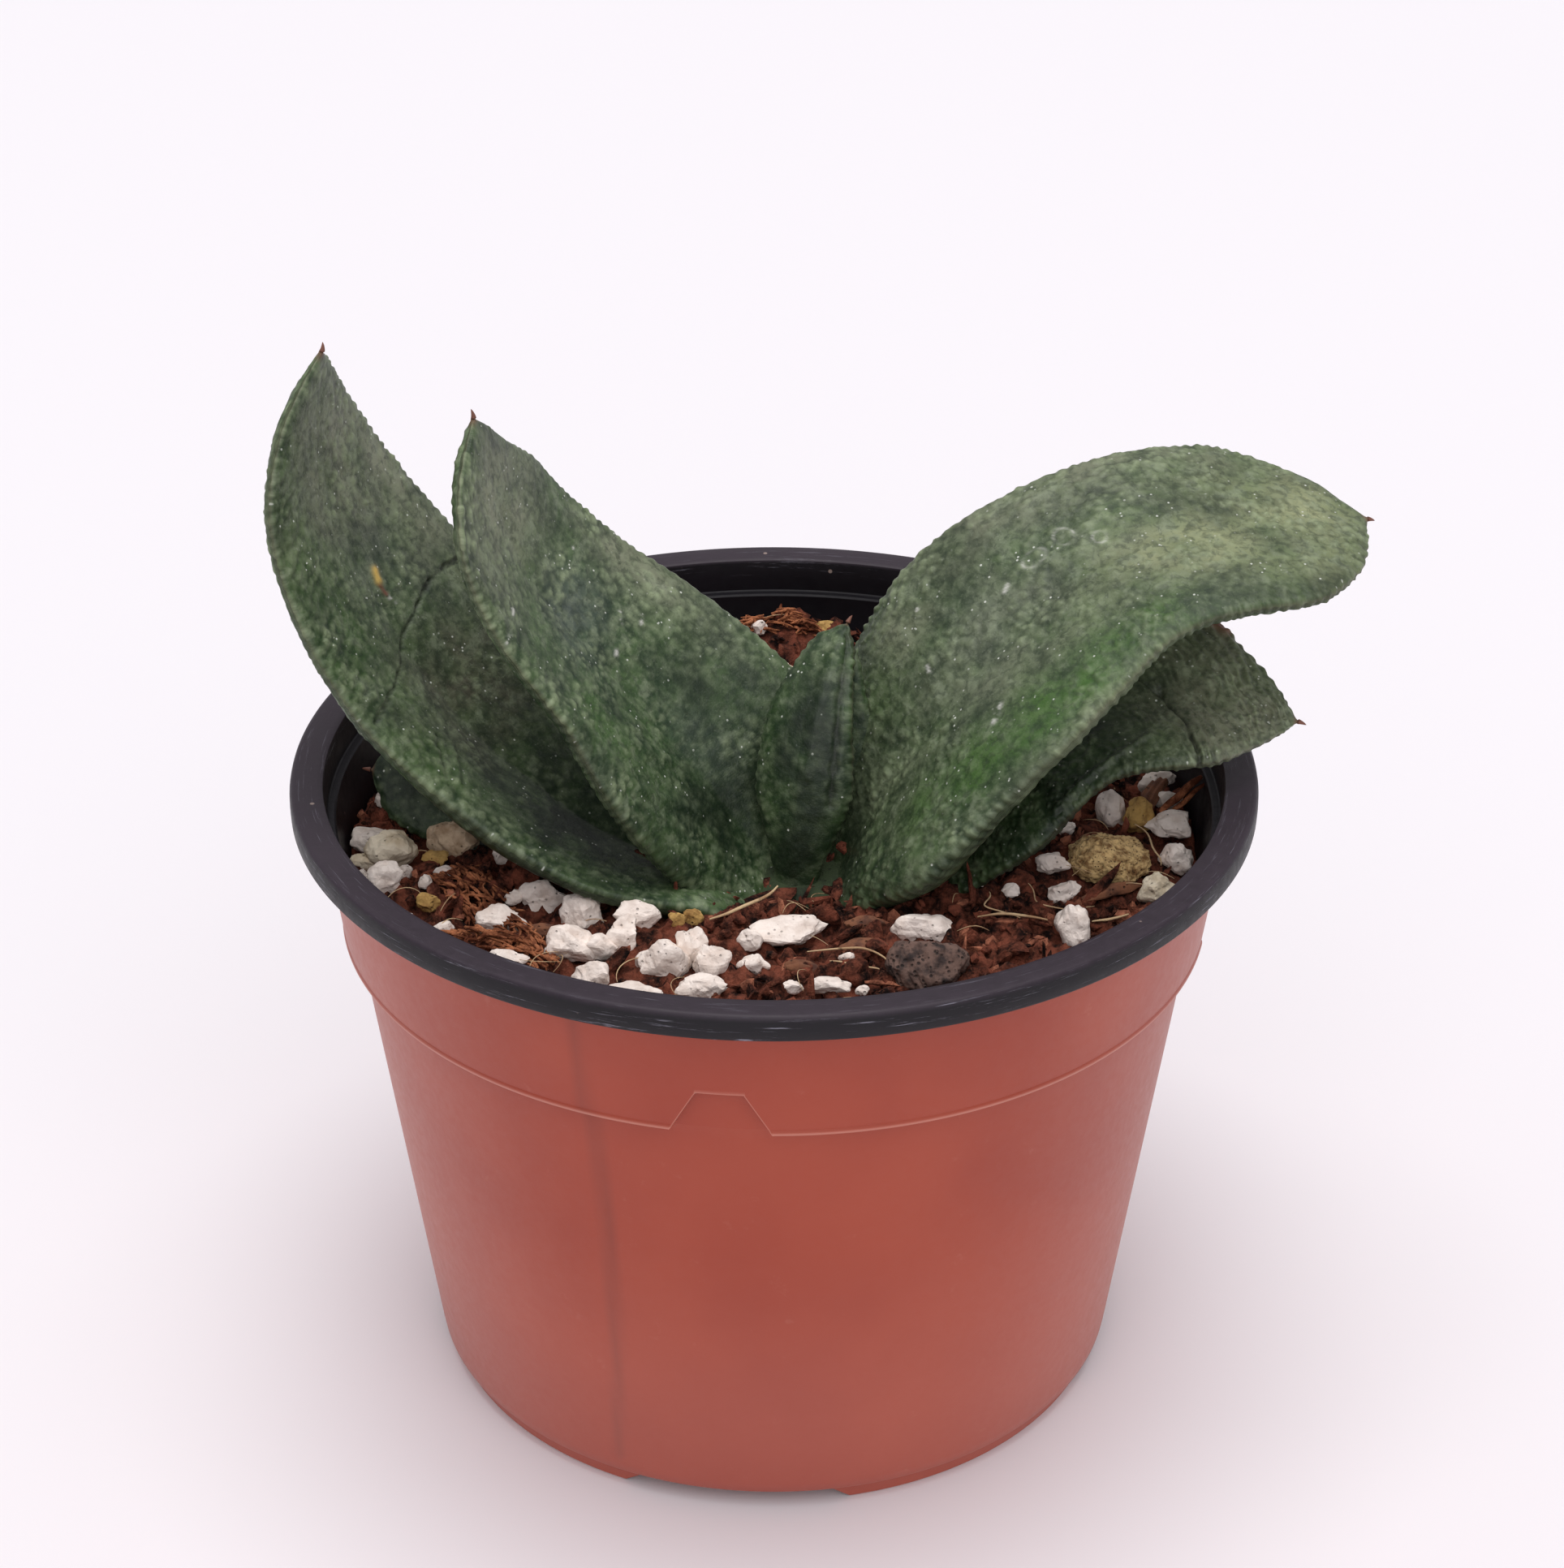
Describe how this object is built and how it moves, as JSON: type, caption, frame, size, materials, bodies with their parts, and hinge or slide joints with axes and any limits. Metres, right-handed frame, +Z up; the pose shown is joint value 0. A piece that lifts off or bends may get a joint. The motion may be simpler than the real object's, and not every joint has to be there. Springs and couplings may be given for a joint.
{
  "type": "potted gasteria",
  "caption": "Small gasteria rosette of thick warty strap leaves in a round two-colour nursery pot filled with gritty potting mix",
  "frame": {"origin": "bottom centre of the whole box, on the ground under the pot; the pot's own axis stands 6.6 mm towards -X", "axes": "+Z up, +X to the right in the picture, +Y away from the picture's camera"},
  "size_m": [0.1233, 0.11, 0.1243],
  "materials": {
    "pot_shell": "satin terracotta-coloured plastic",
    "pot_lining": "near-black plastic, scuffed on the rim",
    "potting_mix": "loose brown peat and coir",
    "perlite": "rough white perlite grains",
    "pumice": "granular tan pumice",
    "lava": "porous dark lava",
    "leaf": "thick leaf skin with pale tubercles",
    "crown": "pale stem and roots"
  },
  "bodies": {
    "root": {"pot": "pot_shell", "potting_mix": "potting_mix", "pumice_stone": "pumice", "lava_stone": "lava", "crown": "crown", "leaf_young_centre": "leaf", "leaf_young_behind": "leaf", "leaf_front_left": "leaf", "leaf_arching_right": "leaf", "leaf_tall_left": "leaf", "leaf_old_right": "leaf", "leaf_low_right": "leaf", "leaf_low_left": "leaf"}
  },
  "joints": []
}
